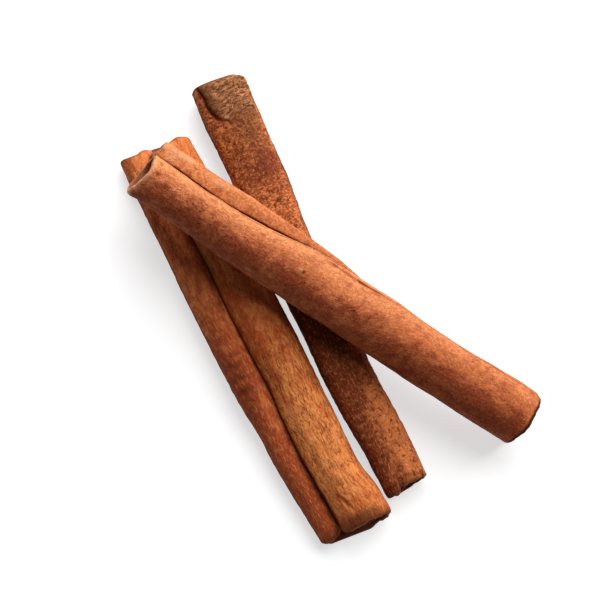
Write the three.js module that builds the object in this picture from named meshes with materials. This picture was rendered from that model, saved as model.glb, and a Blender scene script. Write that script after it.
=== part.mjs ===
import * as THREE from 'three';

// A bundle of three cinnamon sticks that lie loosely across one another on a flat surface.
// Each stick is a quill: one strip of dried cassia bark that has curled up along its length.
// The strip is a closed body with an outer face, an inner face, two long edges and two cut ends.
// Two of the quills have both long edges rolled inwards, so that a roll lies on each side of a
// groove; the third is a single, slightly flattened roll. Two lie flat, and the third lies across
// them, on top of the single roll and with one end on the surface.
// Sizes are in millimetres, +Z is up, and the surface that carries the bundle is z = 0.

// Bark
const BARK_THICKNESS = 0.8;
const TURN_GAP = 0.3; // air between two turns of one roll
const GROOVE_GAP = 0.3; // air between the two rolls of one strip
const TURN_PITCH = BARK_THICKNESS + TURN_GAP;
const EDGE_THINNING = 0.35; // share of the thickness that is lost at a long edge
const EDGE_ZONE = 0.2; // share of a roll over which the long edge thins
const FLAT_SPOT = 0.08; // depth to which a lying quill is pressed flat underneath
const CORNER_SHARPNESS = 2.5; // how suddenly a roll turns the corner into its straight core

// Steps of the faceted surface
const STATIONS = 16; // along a quill
const ROLL_STEPS = 20; // round each roll of a strip with two rolls
const FLOOR_STEPS = 3; // along the strip's flat part between two rolls
const SINGLE_STEPS = 43; // round a strip that is one roll

// The quills. A list gives a size at equal steps from the start of a quill to its end.
//   start, end    foot of the quill's axis at its two ends
//   bow           how far the axis strays sideways from the line between them
//   radius, core  a roll's outer radius, and the width of the straight part at its middle
//   turns         how far the bark goes round, from the roll's underside to its hidden edge
//   lip           how far a single roll's outer edge laps up the other way, in turns
//   sideCut       slope of a cut end across the quill; leanCut, up its height
//   twist         turn of the whole section about the first roll's centre, in degrees
//   flatness      height of the section as a share of its natural height
const quills = [
  {
    name: 'quill_corked',
    colour: 0x8f4a26,
    start: [-19.78, 41.77, 0],
    end: [13.67, -33.83, 0],
    bow: [-0.75, -1.45, -1.6, -1.1, 0.0],
    rolls: [{ radius: [3.95, 3.9, 3.8, 3.75, 3.6], core: [2.9, 2.8, 2.5, 2.3, 1.8], turns: 1.35 }],
    lip: 0.12,
    sideCut: [0, 0.02],
    leanCut: [0, -0.1],
    twist: [0, 0],
    flatness: 1,
    liesFlat: true,
    cork: { height: 0.35, from: 0.28, to: 0.66, length: 0.15 },
  },
  {
    name: 'quill_twin_roll',
    colour: 0xb5652f,
    start: [-31.83, 29.37, 0],
    end: [4.67, -40.93, 0],
    bow: [-0.9, -1.2, -1.65, -1.6, -1.1],
    rolls: [
      { radius: [2.8, 3.3, 3.5, 3.15, 2.6], core: [0.3, 0.3], turns: 1.1 },
      { radius: [4.3, 4.25, 4.45, 4.4, 4.5], core: [0.3, 0.6, 0.8, 0.6, 1.0], turns: 1.45 },
    ],
    axisOffset: 3.2, // sideways from the first roll's centre to the axis
    sideCut: [0.14, 0.13],
    leanCut: [0, -0.06],
    twist: [0, 0],
    flatness: 1,
    liesFlat: true,
  },
  {
    name: 'quill_crossing',
    colour: 0xc8793f,
    start: [-32.63, 21.77, 16.82],
    end: [34.94, -22.49, 7.42],
    bow: [-0.65, -0.85, -0.5, 0.0, 0.35],
    rolls: [
      { radius: [4.8, 5.1, 5.35, 5.6, 5.5], core: [0.4, 0.4], turns: 1.35 },
      { radius: [2.0, 2.1, 2.1, 1.9, 1.8], core: [0, 0], turns: 0.92 },
    ],
    axisOffset: 0,
    sideCut: [0.08, 0.1],
    leanCut: [0.17, 0.05],
    twist: [0, 0, -20, -70, -80],
    flatness: 0.9,
    liesFlat: false,
  },
];

// Smooth value at t (0 to 1) of a list whose entries stand at equal steps (Catmull-Rom).
function valueAlong(list, t) {
  const last = list.length - 1;
  const x = THREE.MathUtils.clamp(t, 0, 1) * last;
  const i = Math.min(Math.floor(x), last - 1);
  const f = x - i;
  const a = list[i];
  const b = list[i + 1];
  const before = i > 0 ? list[i - 1] : 2 * a - b;
  const after = i + 2 <= last ? list[i + 2] : 2 * b - a;
  const linear = (b - before) * f;
  const square = (2 * before - 5 * a + 4 * b - after) * f * f;
  const cubic = (3 * a - before - 3 * b + after) * f * f * f;
  return 0.5 * (2 * a + linear + square + cubic);
}

// Rises smoothly from 0 at a to 1 at b, which may be the smaller of the two.
function ramp(a, b, x) {
  return a < b ? THREE.MathUtils.smoothstep(x, a, b) : 1 - THREE.MathUtils.smoothstep(x, b, a);
}

// The steps across a bark strip, from one long edge to the other. Each step names its roll
// (or the floor between two rolls), its angle from the roll's underside and the bark's thickness.
function stripSteps(quill) {
  const steps = [];
  const edgeLoss = (share) => 1 - EDGE_THINNING * ramp(1 - EDGE_ZONE, 1, share);
  if (quill.rolls.length === 1) {
    const [roll] = quill.rolls;
    for (let k = 0; k <= SINGLE_STEPS; k += 1) {
      const turn = THREE.MathUtils.lerp(-quill.lip, roll.turns, k / SINGLE_STEPS);
      const share = turn < 0 ? -turn / quill.lip : turn / roll.turns;
      steps.push({ roll: 0, side: 1, turn, thickness: BARK_THICKNESS * edgeLoss(share) });
    }
    return steps;
  }
  for (let k = ROLL_STEPS; k > 0; k -= 1) {
    const share = k / ROLL_STEPS;
    const turn = quill.rolls[0].turns * share;
    steps.push({ roll: 0, side: -1, turn, thickness: BARK_THICKNESS * edgeLoss(share) });
  }
  for (let k = 0; k < FLOOR_STEPS; k += 1) {
    steps.push({ floor: k / FLOOR_STEPS, thickness: BARK_THICKNESS });
  }
  for (let k = 0; k <= ROLL_STEPS; k += 1) {
    const share = k / ROLL_STEPS;
    const turn = quill.rolls[1].turns * share;
    steps.push({ roll: 1, side: 1, turn, thickness: BARK_THICKNESS * edgeLoss(share) });
  }
  return steps;
}

// A roll's size at t, and how far it reaches towards the other roll.
function rollAt(roll, t) {
  const radius = valueAlong(roll.radius, t);
  const core = valueAlong(roll.core, t);
  return { radius, core, reach: radius - 0.75 * TURN_PITCH + core / 2 };
}

// Height of the raised cork left on the outer face, at a place round the roll and along the quill.
function corkHeight(quill, turn, t) {
  if (!quill.cork) {
    return 0;
  }
  const { height, from, to, length } = quill.cork;
  const around = ramp(from - 0.03, from + 0.03, turn) * ramp(to + 0.03, to - 0.03, turn);
  return height * around * ramp(length, 0.6 * length, t);
}

// A point of the strip in the section's own plane: x across the quill, y up.
function sectionPoint(quill, step, t, isInner) {
  const sizes = quill.rolls.map((roll) => rollAt(roll, t));
  const first = sizes[0];
  const second = sizes[1] ?? first;
  const span = sizes.length === 2 ? first.reach + second.reach + GROOVE_GAP : 0;
  const depth = isInner ? step.thickness : 0;
  if (step.floor !== undefined) {
    return new THREE.Vector2(span * step.floor, depth);
  }
  const { radius, core } = sizes[step.roll];
  const angle = step.turn * 2 * Math.PI;
  const cork = isInner ? 0 : corkHeight(quill, step.turn, t);
  const reach = radius - TURN_PITCH * step.turn - depth + cork;
  const corner = Math.tanh(CORNER_SHARPNESS * Math.sin(angle)) / Math.tanh(CORNER_SHARPNESS);
  const across = reach * Math.sin(angle) + 0.5 * core * corner;
  const centre = step.roll === 0 ? 0 : span;
  return new THREE.Vector2(centre + step.side * across, radius - reach * Math.cos(angle));
}

// A point on the quill's axis.
function axisPoint(quill, t) {
  const start = new THREE.Vector3(...quill.start);
  const run = new THREE.Vector3(...quill.end).sub(start);
  const sideways = new THREE.Vector3(-run.y, run.x, 0).normalize();
  return start.addScaledVector(run, t).addScaledVector(sideways, valueAlong(quill.bow, t));
}

// The directions along, across and up from the quill at t.
function axisFrame(quill, t) {
  const step = 0.001;
  const along = axisPoint(quill, Math.min(1, t + step)).sub(axisPoint(quill, Math.max(0, t - step)));
  along.normalize();
  const across = new THREE.Vector3(-along.y, along.x, 0).normalize();
  const up = new THREE.Vector3().crossVectors(along, across);
  return { along, across, up };
}

// A point of the strip in space: the section is twisted, flattened, pressed flat underneath,
// set on the axis and, near a cut end, moved along the quill to follow the slope of the cut.
function quillPoint(quill, step, t, isInner) {
  const point = sectionPoint(quill, step, t, isInner);
  const pivot = new THREE.Vector2(quill.axisOffset ?? 0, quill.liesFlat ? 0 : rollAt(quill.rolls[0], t).radius);
  point.sub(pivot);
  point.rotateAround(new THREE.Vector2(0, 0), THREE.MathUtils.degToRad(valueAlong(quill.twist, t)));
  point.y *= quill.flatness;
  if (quill.liesFlat && !isInner) {
    point.y = Math.max(point.y, FLAT_SPOT);
  }
  const startCut = (1 - t) ** 3 * (quill.sideCut[0] * point.x + quill.leanCut[0] * point.y);
  const endCut = t ** 3 * (quill.sideCut[1] * point.x + quill.leanCut[1] * point.y);
  const { along, across, up } = axisFrame(quill, t);
  return axisPoint(quill, t)
    .addScaledVector(across, point.x)
    .addScaledVector(up, point.y)
    .addScaledVector(along, startCut + endCut);
}

// The closed surface of a quill: rows of points over the outer and the inner face, joined by
// quads, with a strip of quads down each long edge and over each cut end.
function quillGeometry(quill) {
  const steps = stripSteps(quill);
  const columns = steps.length;
  const rows = STATIONS + 1;
  const positions = [];
  for (const isInner of [false, true]) {
    for (let row = 0; row < rows; row += 1) {
      for (const step of steps) {
        positions.push(...quillPoint(quill, step, row / STATIONS, isInner).toArray());
      }
    }
  }
  const outer = (row, column) => row * columns + column;
  const inner = (row, column) => (rows + row) * columns + column;
  const indices = [];
  const quad = (a, b, c, d) => indices.push(a, b, c, a, c, d);
  for (let row = 0; row < rows - 1; row += 1) {
    for (let column = 0; column < columns - 1; column += 1) {
      const right = column + 1;
      const next = row + 1;
      quad(outer(row, column), outer(row, right), outer(next, right), outer(next, column));
      quad(inner(row, column), inner(next, column), inner(next, right), inner(row, right));
    }
    const last = columns - 1;
    quad(outer(row, 0), outer(row + 1, 0), inner(row + 1, 0), inner(row, 0));
    quad(outer(row, last), inner(row, last), inner(row + 1, last), outer(row + 1, last));
  }
  for (let column = 0; column < columns - 1; column += 1) {
    const right = column + 1;
    const last = rows - 1;
    quad(outer(0, column), inner(0, column), inner(0, right), outer(0, right));
    quad(outer(last, column), outer(last, right), inner(last, right), inner(last, column));
  }
  const geometry = new THREE.BufferGeometry();
  geometry.setAttribute('position', new THREE.Float32BufferAttribute(positions, 3));
  geometry.setIndex(indices);
  geometry.computeVertexNormals();
  return geometry;
}

const bundle = new THREE.Group();
for (const quill of quills) {
  const bark = new THREE.MeshStandardMaterial({ color: quill.colour, roughness: 0.85, metalness: 0 });
  const mesh = new THREE.Mesh(quillGeometry(quill), bark);
  mesh.name = quill.name;
  bundle.add(mesh);
}

// The origin is under the middle of the bundle, on the surface that it lies on.
const box = new THREE.Box3().setFromObject(bundle);
const middle = box.getCenter(new THREE.Vector3());
for (const mesh of bundle.children) {
  mesh.position.set(-middle.x, -middle.y, -box.min.z);
}

export default bundle;
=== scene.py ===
import math

import bpy
import numpy as np
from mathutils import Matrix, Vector


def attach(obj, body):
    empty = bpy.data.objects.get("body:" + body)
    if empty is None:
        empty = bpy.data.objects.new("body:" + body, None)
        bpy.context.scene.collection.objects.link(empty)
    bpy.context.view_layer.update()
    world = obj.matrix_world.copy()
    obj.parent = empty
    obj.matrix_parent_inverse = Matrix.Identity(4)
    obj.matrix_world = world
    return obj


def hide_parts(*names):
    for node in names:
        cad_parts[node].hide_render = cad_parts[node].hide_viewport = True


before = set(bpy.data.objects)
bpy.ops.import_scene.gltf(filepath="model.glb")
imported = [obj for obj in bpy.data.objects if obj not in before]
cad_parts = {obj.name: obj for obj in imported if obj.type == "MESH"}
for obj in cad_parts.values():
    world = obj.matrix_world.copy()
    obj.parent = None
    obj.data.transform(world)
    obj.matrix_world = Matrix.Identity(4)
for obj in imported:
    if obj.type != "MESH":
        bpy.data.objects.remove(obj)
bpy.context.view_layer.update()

# ---------------------------------------------------------------------------------------------
# The corked quill: one strip of cassia bark, 0.8 mm thick, curled into a single flattened roll.
# It lies flat under the crossing quill. A scrap of rough outer cork is left on its far end; the
# rest is scraped, mottled inner bark. Its near end is broken off unevenly.
# ---------------------------------------------------------------------------------------------

# Sizes are in millimetres. A place on the bark is v, the distance from the quill's first end, and turn, how
# far it is round its roll: 0 underneath, 0.25 at the side away from the other roll or at a single roll's
# right side, 0.5 on top, and past 1 hidden inside. u is the distance across the bark from its first long
# edge. In the reliefs, shade runs from 0, light, to 1, dark.
MM = 0.001
BARK_THICKNESS = 0.8
TURN_GAP = 0.3
GROOVE_GAP = 0.3
TURN_PITCH = BARK_THICKNESS + TURN_GAP
EDGE_THINNING = 0.35
EDGE_ZONE = 0.2
FLAT_SPOT = 0.08
CORNER_SHARPNESS = 2.5
OUTER_TURNS = 0.85
INNER_STEP = 3
DROOP_LENGTH = 1.6
GROOVE_REACH = 3.2
SWELL_REACH = 5
SLOPE_STEP = 0.001

# A quill's sizes: the ends of its axis and its sideways bow; each roll's radius and the width of its flat
# core, from the first end to the last, and its turns; how far a single roll's first edge laps round
# underneath, in turns; how far the axis is from the first roll's middle; the slants of the two cut ends,
# sideways and upwards; the twist in degrees; the height as a share of the round height; how far the sides
# swell and the groove shifts, from the first end to the last; and the upper side's droop at each end.
corked = {
    "start": (-19.78, 41.77, 0), "end": (13.67, -33.83, 0),
    "bow": (-0.75, -1.45, -1.6, -1.1, 0.0),
    "rolls": [{"radius": (3.95, 3.9, 3.8, 3.75, 3.6), "core": (2.9, 2.8, 2.5, 2.3, 1.8), "turns": 1.35}],
    "lip": 0.12, "axis_offset": 0, "side_cut": (0, 0.02), "lean_cut": (0, -0.1),
    "twist": (0, 0), "flatness": 1, "lies_flat": True,
    "swell_left": (0.5, 0.52, 0.25, 0, 0, 0, 0, 0, 0, -0.1, -0.1, 0.1, 0.15, 0.15, -0.05, -0.05, 0.1),
    "swell_right": (0.05, 0.08, 0.2, 0.35, 0.42, 0.22, 0.03, 0.05, 0.1, 0.1, 0, 0, 0.05, 0.28, 0.38, 0.4,
                    0.3),
    "groove_shift": (0, 0), "droop": (0.4, 0.9),
}


def value_along(sizes, t):
    """Smooth value at t, from 0 to 1, of sizes that stand at equal steps: a Catmull-Rom cubic through
    them."""
    sizes = np.asarray(sizes, float)
    last = len(sizes) - 1
    x = np.clip(t, 0, 1) * last
    i = np.minimum(x.astype(int), last - 1)
    f = x - i
    a = sizes[i]
    b = sizes[i + 1]
    before = np.where(i > 0, sizes[np.maximum(i - 1, 0)], 2 * a - b)
    after = np.where(i + 2 <= last, sizes[np.minimum(i + 2, last)], 2 * b - a)
    linear = (b - before) * f
    square = (2 * before - 5 * a + 4 * b - after) * f ** 2
    cubic = (3 * a - before - 3 * b + after) * f ** 3
    return 0.5 * (2 * a + linear + square + cubic)


def ramp(low, high, x):
    """Smooth step from 0 at low to 1 at high, which may be the smaller of the two: 3s^2 - 2s^3."""
    s = np.clip((x - low) / (high - low), 0, 1)
    return s * s * (3 - 2 * s)


def strip_columns(quill, shown, hidden, floor_count):
    """Columns across the bark strip from one long edge to the other, close together on each roll's outer
    turn and wider apart where the bark is hidden. Gives each column's roll (-1 on the floor between two
    rolls), its turn from the roll's underside, and its share of the way across the floor."""
    def turns_of(roll, count, first=0.0):
        outer = min(OUTER_TURNS, roll["turns"])
        inner = np.linspace(outer, roll["turns"], hidden + 1)[1:] if roll["turns"] > outer else np.zeros(0)
        return np.concatenate([np.linspace(first, outer, count), inner])
    rolls = quill["rolls"]
    if len(rolls) == 1:
        turn = turns_of(rolls[0], shown[0], -quill["lip"])
        roll = np.zeros(len(turn), int)
        share = np.zeros(len(turn))
    else:
        left = turns_of(rolls[0], shown[0])[::-1]
        right = turns_of(rolls[1], shown[1])
        floor = np.linspace(0, 1, floor_count + 2)[1:-1]
        turn = np.concatenate([left, np.zeros(floor_count), right])
        roll = np.repeat([0, -1, 1], [len(left), floor_count, len(right)])
        share = np.concatenate([np.zeros(len(left)), floor, np.ones(len(right))])
    spare = (len(turn) - 1) % INNER_STEP
    return {"turn": turn[spare:], "roll": roll[spare:], "share": share[spare:]}


def bark_thickness(quill, columns):
    """Thickness of the bark at each column: full, and thinned by a smooth step along the last fifth of the
    way to each long edge."""
    ends = np.array([roll["turns"] for roll in quill["rolls"]])[np.maximum(columns["roll"], 0)]
    edge_share = columns["turn"] / ends
    if len(quill["rolls"]) == 1:
        edge_share = np.where(columns["turn"] < 0, -columns["turn"] / quill["lip"], edge_share)
    return BARK_THICKNESS * (1 - EDGE_THINNING * ramp(1 - EDGE_ZONE, 1, edge_share))[None, :]


def roll_reach(roll, t):
    """How far a roll reaches from its middle towards its neighbour: radius - 3/4 pitch + half its core."""
    radius = value_along(roll["radius"], t)[:, None]
    return radius - 0.75 * TURN_PITCH + value_along(roll["core"], t)[:, None] / 2


def curled_section(quill, columns, t, depth):
    """The strip's section, x across and y up, in a plane square to the quill. Each roll is a spiral round a
    short flat core, distance from its centre = radius - pitch x turn - depth, and the floor between two
    rolls is straight. The upper side droops, by a smooth step, over a short length at both ends."""
    rows = t[:, None]
    turn = columns["turn"][None, :]
    two_rolls = len(quill["rolls"]) == 2
    radii = [value_along(roll["radius"], t)[:, None] for roll in quill["rolls"]]
    cores = [value_along(roll["core"], t)[:, None] for roll in quill["rolls"]]
    span = sum(roll_reach(roll, t) for roll in quill["rolls"]) + GROOVE_GAP if two_rolls else 0 * rows
    is_second = (columns["roll"] == 1)[None, :]
    is_floor = (columns["roll"] == -1)[None, :]
    radius = np.where(is_second, radii[-1], radii[0])
    core = np.where(is_second, cores[-1], cores[0])
    side = np.where((columns["roll"] == 0) & two_rolls, -1.0, 1.0)[None, :]
    angle = 2 * np.pi * turn
    distance = radius - TURN_PITCH * turn - depth
    corner = np.tanh(CORNER_SHARPNESS * np.sin(angle)) / np.tanh(CORNER_SHARPNESS)
    x = side * (distance * np.sin(angle) + 0.5 * core * corner)
    y = radius - distance * np.cos(angle)
    length = math.dist(quill["start"], quill["end"])
    first_droop = quill["droop"][0] * ramp(DROOP_LENGTH, 0, rows * length)
    last_droop = quill["droop"][1] * ramp(DROOP_LENGTH, 0, (1 - rows) * length)
    y = y - (first_droop + last_droop) * ramp(-0.2, 1, -np.cos(angle))
    x = np.where(is_floor, 0, x) + span * columns["share"][None, :]
    y = np.where(is_floor, depth + 0 * y, y)
    return x - quill["axis_offset"], y - (0 if quill["lies_flat"] else radii[0])


def shaped_section(quill, x, y, t):
    """The section twisted and flattened, then shifted sideways by a bell round its groove and swollen by a
    smooth step towards each side, by the quill's own amounts at t."""
    twist = np.radians(value_along(quill["twist"], t))[:, None]
    x, y = x * np.cos(twist) - y * np.sin(twist), x * np.sin(twist) + y * np.cos(twist)
    y = y * quill["flatness"]
    groove = roll_reach(quill["rolls"][0], t) + GROOVE_GAP / 2 - quill["axis_offset"]
    shift = value_along(quill["groove_shift"], t)[:, None] * np.exp(-((x - groove) / GROOVE_REACH) ** 2)
    left = value_along(quill["swell_left"], t)[:, None] * ramp(0, -SWELL_REACH, x)
    right = value_along(quill["swell_right"], t)[:, None] * ramp(0, SWELL_REACH, x)
    return x - shift - left + right, y


def set_on_axis(quill, x, y, t, slide):
    """Points of the section set square on the bowed axis, then slid along it: slide + (1 - t)^3 x the slant
    of the first cut + t^3 x the slant of the last one."""
    rows = t[:, None]
    slide = slide + (1 - rows) ** 3 * (quill["side_cut"][0] * x + quill["lean_cut"][0] * y)
    slide = slide + rows ** 3 * (quill["side_cut"][1] * x + quill["lean_cut"][1] * y)
    start = np.array(quill["start"], float)
    run = np.array(quill["end"], float) - start
    sideways = np.array([-run[1], run[0], 0]) / np.hypot(run[0], run[1])

    def axis(s):
        return start + s[:, None] * run + value_along(quill["bow"], s)[:, None] * sideways
    along = axis(np.minimum(1, t + SLOPE_STEP)) - axis(np.maximum(0, t - SLOPE_STEP))
    along /= np.linalg.norm(along, axis=1)[:, None]
    across = np.stack([-along[:, 1], along[:, 0], 0 * t], 1)
    across /= np.linalg.norm(across, axis=1)[:, None]
    up = np.cross(along, across)
    points = axis(t)[:, None] + x[..., None] * across[:, None] + y[..., None] * up[:, None]
    points = points + slide[..., None] * along[:, None]
    points[..., 2] -= FLAT_SPOT
    return points


def bark_points(quill, columns, t, inner, slide):
    """The outer or the inner face of the strip, rows along the quill and columns across it: the curled
    section, shaped, pressed flat underneath where the quill lies on the table, and set on the axis."""
    depth = bark_thickness(quill, columns) if inner else 0.0
    x, y = curled_section(quill, columns, t, depth)
    x, y = shaped_section(quill, x, y, t)
    if quill["lies_flat"] and not inner:
        y = np.maximum(y, FLAT_SPOT)
    return set_on_axis(quill, x, y, t, slide)


# The rows near a cut end and its round rim; the distances from it, and the slopes, between which the rim's
# painted shade and painted light and the underside's painted shade are laid; the power by which its chips
# fade; the millimetres in one unit of the bark's map; and the cells after which the noise repeats.
RIM_ROWS = np.array([0, 0.04, 0.1, 0.18, 0.28, 0.42])
BODY_START = 0.6
RIM_RADIUS = 0.4
RIM_DEPTH = 0.9
RELIEF_START = 0.8
CUT_LENGTH = 0.03
PAINTED_RIM = (0.75, 0.1)
UNDERSIDE_SHADE_SLOPES = (0.42, 0.08)
CHIP_FADE = 14
MAP_SPAN = 100
NOISE_CELLS = 256


def rows_along(length, spacing):
    """Places along a quill, from 0 to 1: even spacing, with closer rows near the two cut ends for their
    round rims. Their number, less one, is a multiple of the inner sheet's step."""
    steps = INNER_STEP * round((length - 2 * BODY_START) / spacing / INNER_STEP)
    body_rows = steps + (1 - 2 * len(RIM_ROWS)) % INNER_STEP
    body = np.linspace(BODY_START, length - BODY_START, body_rows)
    return np.concatenate([RIM_ROWS, body, length - RIM_ROWS[::-1]]) / length


def soft_noise(x, y, seed):
    """Smooth random field, from -1 to 1: one random value at each whole x and y, and between them the blend
    6f^5 - 15f^4 + 10f^3."""
    table = np.random.default_rng(seed).uniform(-1, 1, (NOISE_CELLS, NOISE_CELLS))
    x, y = np.broadcast_arrays(x, y)
    i = np.floor(x).astype(int)
    j = np.floor(y).astype(int)
    fx = x - i
    fy = y - j
    fx = fx ** 3 * (fx * (6 * fx - 15) + 10)
    fy = fy ** 3 * (fy * (6 * fy - 15) + 10)
    i0, i1 = i % NOISE_CELLS, (i + 1) % NOISE_CELLS
    j0, j1 = j % NOISE_CELLS, (j + 1) % NOISE_CELLS
    near = table[i0, j0] * (1 - fx) + table[i1, j0] * fx
    far = table[i0, j1] * (1 - fx) + table[i1, j1] * fx
    return near * (1 - fy) + far * fy


def spot(x, y, x0, y0, width, length):
    """Bell, 1 at its middle (x0, y0): exp of minus the squares of the distances across and along, each over
    its size."""
    return np.exp(-((x - x0) / width) ** 2 - ((y - y0) / length) ** 2)


def band(x, middle, width):
    """Bell in one direction, 1 at its middle: exp of minus the square of the distance over the width."""
    return spot(x, 0, middle, 0, width, 1)


def bark_faces(outer, inner):
    """Faces of the closed bark, from the point numbers of its outer and inner sheets: four-sided ones on
    the sheets, and six-sided ones that join them along both long edges and round both cut ends."""
    sheets = [np.stack([outer[:-1, :-1], outer[:-1, 1:], outer[1:, 1:], outer[1:, :-1]], -1).reshape(-1, 4),
              np.stack([inner[:-1, :-1], inner[1:, :-1], inner[1:, 1:], inner[:-1, 1:]], -1).reshape(-1, 4)]

    def edge_faces(outer_line, inner_line, flip):
        starts = [outer_line[k:len(outer_line) - INNER_STEP + k:INNER_STEP] for k in range(INNER_STEP)]
        faces = np.stack([inner_line[:-1], *starts, outer_line[INNER_STEP::INNER_STEP], inner_line[1:]], -1)
        return faces[:, ::-1] if flip else faces
    edges = [edge_faces(outer[:, 0], inner[:, 0], False), edge_faces(outer[:, -1], inner[:, -1], True),
             edge_faces(outer[0], inner[0], True), edge_faces(outer[-1], inner[-1], False)]
    return [face for group in sheets + edges for face in group.tolist()]


def make_quill(name, quill, columns, spacing, relief, chips):
    """Closed bark mesh: a fine outer sheet, pushed out by its relief and in by r - sqrt(r^2 - d^2) at its
    round rims, where d is how far past the rim's start a row is, and an inner sheet with a third of the rows
    and columns. The chips slide the bark along the quill by t^14 and (1 - t)^14 of their size. The map holds
    u and v, and the painted masks are set on the points."""
    length = math.dist(quill["start"], quill["end"])
    t = rows_along(length, spacing)
    v = np.broadcast_to((t * length)[:, None], (len(t), len(columns["turn"])))
    turn = np.broadcast_to(columns["turn"], v.shape)
    roll = np.broadcast_to(columns["roll"], v.shape)
    first_chips, last_chips = chips(turn, roll)
    slide = last_chips * t[:, None] ** CHIP_FADE - first_chips * (1 - t[:, None]) ** CHIP_FADE
    outer = bark_points(quill, columns, t, False, slide)
    inner = bark_points(quill, columns, t, True, slide)[::INNER_STEP, ::INNER_STEP]
    steps_across = np.linalg.norm(np.diff(outer[len(t) // 2], axis=0), axis=1)
    u = np.broadcast_to(np.concatenate([[0], np.cumsum(steps_across)]), v.shape)
    height, paint = relief(u, v, turn, roll)

    from_end = np.minimum(v, length - v)
    short = np.maximum(RIM_RADIUS - from_end, 0)
    rim = RIM_RADIUS - np.sqrt(np.maximum(RIM_RADIUS ** 2 - short ** 2, 0))
    outward = np.cross(np.gradient(outer, axis=1), np.gradient(outer, axis=0))
    outward /= np.linalg.norm(outward, axis=2)[..., None] + 1e-12
    outer = outer + (height * ramp(0, RELIEF_START, from_end) - RIM_DEPTH * rim)[..., None] * outward
    if quill["lies_flat"]:
        outer[..., 2] = np.maximum(outer[..., 2], 0)

    outer_count = outer.shape[0] * outer.shape[1]
    inner_count = inner.shape[0] * inner.shape[1]
    outer_numbers = np.arange(outer_count).reshape(outer.shape[:2])
    inner_numbers = np.arange(inner_count).reshape(inner.shape[:2]) + outer_count
    points = np.concatenate([outer.reshape(-1, 3), inner.reshape(-1, 3)]) * MM
    mesh = bpy.data.meshes.new(name)
    mesh.from_pydata(points.tolist(), [], bark_faces(outer_numbers, inner_numbers))

    def both(values):
        values = np.broadcast_to(values, v.shape)
        return np.concatenate([values.ravel(), values[::INNER_STEP, ::INNER_STEP].ravel()])
    corner_point = np.empty(len(mesh.loops), np.int32)
    mesh.loops.foreach_get("vertex_index", corner_point)
    place = np.stack([both(u), both(v)], -1)[corner_point] / MAP_SPAN
    mesh.uv_layers.new(name="bark").data.foreach_set("uv", place.astype(np.float32).ravel())
    # Painted shade on the underside, where the bark faces downwards.
    under = ramp(*UNDERSIDE_SHADE_SLOPES, outward[..., 2])
    masks = {"inside": np.repeat([0.0, 1.0], [outer_count, inner_count]),
             "cut": both(from_end < CUT_LENGTH), "rim": both(ramp(*PAINTED_RIM, from_end)),
             "under": np.concatenate([under.ravel(), np.zeros(inner_count)])}
    masks.update({key: both(values) for key, values in paint.items()})
    for key, values in masks.items():
        mesh.attributes.new(key, "FLOAT", "POINT").data.foreach_set("value", values.astype(np.float32))
    mesh.polygons.foreach_set("use_smooth", np.ones(len(mesh.polygons), bool))
    piece = bpy.data.objects.new(name, mesh)
    bpy.context.scene.collection.objects.link(piece)
    return piece


def place_node(tree, kind, inputs=None, **settings):
    """Adds a node with these settings; inputs gives sockets a value or the output that feeds them."""
    node = tree.nodes.new(kind)
    for name, value in settings.items():
        setattr(node, name, value)
    for socket, value in (inputs or {}).items():
        if isinstance(value, bpy.types.NodeSocket):
            tree.links.new(value, node.inputs[socket])
        else:
            node.inputs[socket].default_value = value
    return node


def maths(tree, operation, a, b=0.0):
    """Result of one Math node."""
    return place_node(tree, "ShaderNodeMath", {0: a, 1: b}, operation=operation).outputs[0]


def weighted(tree, *pairs):
    """Sum of each value times its weight, kept between 0 and 1."""
    total = 0.0
    for value, weight in pairs:
        total = maths(tree, "ADD", maths(tree, "MULTIPLY", value, weight), total)
    return maths(tree, "MINIMUM", maths(tree, "MAXIMUM", total, 0.0), 1.0)


def blend(tree, amount, a, b):
    """Colour a blended with colour b by an amount from 0 to 1."""
    return place_node(tree, "ShaderNodeMix", {0: amount, 6: a, 7: b}, data_type="RGBA").outputs[2]


def tinted(tree, colour, amount, share, tint):
    """Colour blended with a tint by a share of the amount."""
    return blend(tree, maths(tree, "MULTIPLY", amount, share), colour, tint)


def mask(tree, value, low, high):
    """0 below low, 1 above high, and a smooth step between."""
    inputs = {"Value": value, "From Min": low, "From Max": high, "To Min": 0.0, "To Max": 1.0}
    return place_node(tree, "ShaderNodeMapRange", inputs, interpolation_type="SMOOTHSTEP").outputs["Result"]


def painted(tree, name):
    """Value of one of the mesh's own painted masks."""
    node = place_node(tree, "ShaderNodeAttribute", attribute_name=name, attribute_type="GEOMETRY")
    return node.outputs["Fac"]


def new_group(name, inputs, outputs):
    """Empty shader node group with named number or vector inputs and named number outputs."""
    group = bpy.data.node_groups.new(name, "ShaderNodeTree")
    for label, default in inputs.items():
        kind = "NodeSocketVector" if default is None else "NodeSocketFloat"
        socket = group.interface.new_socket(name=label, in_out="INPUT", socket_type=kind)
        if default is not None:
            socket.default_value = default
    for label in outputs:
        group.interface.new_socket(name=label, in_out="OUTPUT", socket_type="NodeSocketFloat")
    return group, group.nodes.new("NodeGroupInput").outputs, group.nodes.new("NodeGroupOutput").inputs


def stretched(tree, place, across, along, seed):
    """Place on the bark in cells of across by along millimetres, with a seed as the third coordinate."""
    split = place_node(tree, "ShaderNodeSeparateXYZ", {0: place})
    x = maths(tree, "DIVIDE", split.outputs[0], across)
    y = maths(tree, "DIVIDE", split.outputs[1], along)
    return place_node(tree, "ShaderNodeCombineXYZ", {0: x, 1: y, 2: seed}).outputs[0]


def noise(tree, vector, detail, roughness, distortion=0.0):
    """Cloudy noise, one cell for each whole step of the vector."""
    inputs = {"Vector": vector, "Scale": 1.0, "Detail": detail, "Roughness": roughness,
              "Distortion": distortion}
    return place_node(tree, "ShaderNodeTexNoise", inputs, noise_dimensions="3D").outputs[0]


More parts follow.
